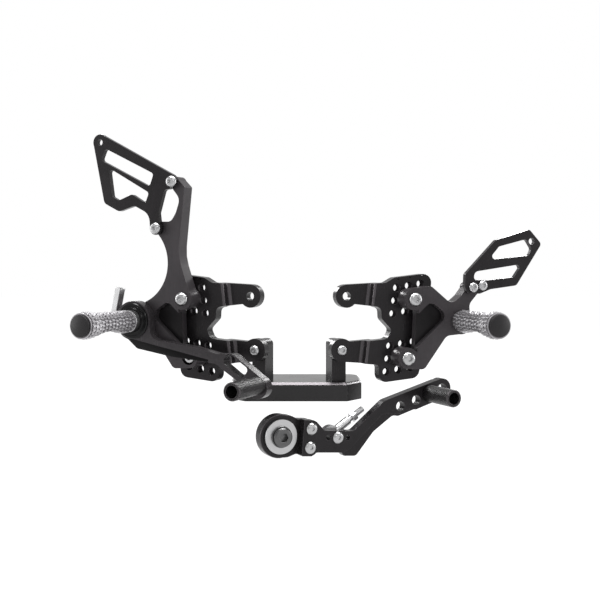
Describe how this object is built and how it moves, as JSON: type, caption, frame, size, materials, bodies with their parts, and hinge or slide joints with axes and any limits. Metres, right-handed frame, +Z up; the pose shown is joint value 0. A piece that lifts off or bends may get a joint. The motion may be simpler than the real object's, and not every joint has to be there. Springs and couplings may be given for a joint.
{
  "type": "motorcycle rear-set footrest controls",
  "caption": "Rear-set motorcycle footrest controls: perforated adapter plates, hangers with knurled pegs and heel guards, brake and gear levers, on a flat bridge.",
  "frame": {"origin": "middle of the bridge's flat underside", "axes": "+X across the set towards the gear side, +Y back towards the machine, +Z up"},
  "size_m": [0.4636, 0.1751, 0.3234],
  "materials": {
    "black_anodised": "machined aluminium, satin black anodised",
    "silver_anodised": "machined aluminium, plain bright",
    "bright_steel": "bright zinc-plated or stainless steel",
    "steel": "plain turned steel",
    "black_plastic": "moulded black plastic"
  },
  "bodies": {
    "frame_set": {"bridge_bar": "black_anodised", "brake_post": "black_anodised", "gear_post": "black_anodised", "post_screws": "steel", "ear_bolts": "bright_steel", "brake_adapter_plate": "black_anodised", "gear_adapter_plate": "black_anodised", "brake_hanger": "black_anodised", "gear_hanger": "black_anodised", "hanger_bolts": "bright_steel", "hanger_nuts": "steel", "brake_heel_guard": "black_anodised", "gear_heel_guard": "black_anodised", "brake_guard_screws": "bright_steel", "gear_guard_screws": "bright_steel", "brake_footpeg": "silver_anodised", "gear_footpeg": "silver_anodised", "peg_end_caps": "black_plastic", "brake_peg_bolt": "steel", "gear_peg_bolt": "steel", "brake_peg_collar": "silver_anodised", "brake_pivot_bush": "steel", "bearing_inner_ring": "steel", "pivot_washer": "silver_anodised", "pivot_bolt": "steel"},
    "brake_lever_body": {"brake_lever": "black_anodised", "brake_toe_peg": "black_anodised", "brake_toe_screw": "steel", "coupling_pin": "steel"},
    "coupling_body": {"push_rod_coupling": "bright_steel"},
    "gear_lever_body": {"gear_lever_arm": "black_anodised", "gear_eye_link": "black_anodised", "link_bolts": "bright_steel", "bearing_outer_ring": "steel", "bearing_balls": "bright_steel", "gear_toe_peg": "black_anodised", "gear_toe_screw": "steel", "rod_end_ball": "bright_steel", "rod_end_bolt": "bright_steel", "rod_end_washer": "steel"},
    "rod_end": {"rod_end_body": "bright_steel", "rod_end_lock_nut": "bright_steel"}
  },
  "joints": [
    {"name": "brake_lever_pivot", "type": "hinge", "parent": "frame_set", "child": "brake_lever_body", "pos_m": [-0.16279, -0.02169, 0.0804], "axis": [0.4226, 0.9063, 0], "range_deg": [0, 12]},
    {"name": "coupling_swivel", "type": "hinge", "parent": "brake_lever_body", "child": "coupling_body", "pos_m": [-0.18844, 0.00257, 0.0814], "axis": [0.4226, 0.9063, 0], "range_deg": [-15, 15]},
    {"name": "gear_lever_pivot", "type": "hinge", "parent": "frame_set", "child": "gear_lever_body", "pos_m": [-0.01694, -0.07382, -0.0282], "axis": [0.4384, -0.8988, 0], "range_deg": [-6, 2.5]},
    {"name": "rod_end_swivel", "type": "hinge", "parent": "gear_lever_body", "child": "rod_end", "pos_m": [0.03403, -0.04562, -0.03228], "axis": [0.4384, -0.8988, 0], "range_deg": [-25, 8]}
  ]
}
